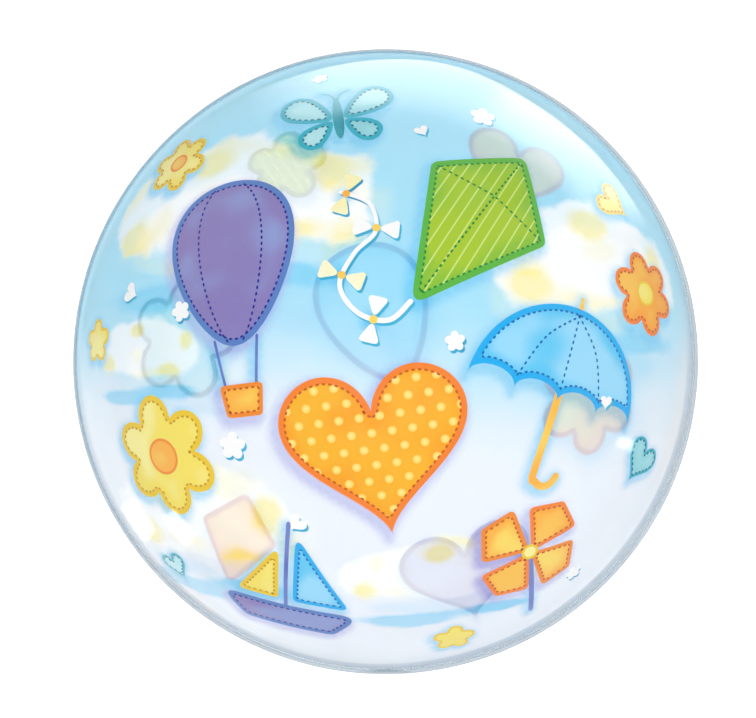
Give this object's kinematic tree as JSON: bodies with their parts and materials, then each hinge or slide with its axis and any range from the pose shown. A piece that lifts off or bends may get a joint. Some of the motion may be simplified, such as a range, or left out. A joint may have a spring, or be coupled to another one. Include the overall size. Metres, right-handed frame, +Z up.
{
  "type": "bubble balloon",
  "caption": "Round bubble balloon of clear printed film, welded round its middle and blown up to a ball, lying on its back with its flat filling tail hanging at the lower edge.",
  "frame": {"origin": "centre of the small flat spot that the ball rests on", "axes": "+Z up, out of the middle of the front print; +Y towards the top of the print; the seam lies level half way up, and the tail hangs from it at -Y"},
  "size_m": [0.56, 0.56, 0.5511],
  "materials": {
    "film": "thin glossy see-through film, printed with pale sky, clouds and stitched patches"
  },
  "bodies": {
    "root": {"balloon": "film"}
  },
  "joints": []
}
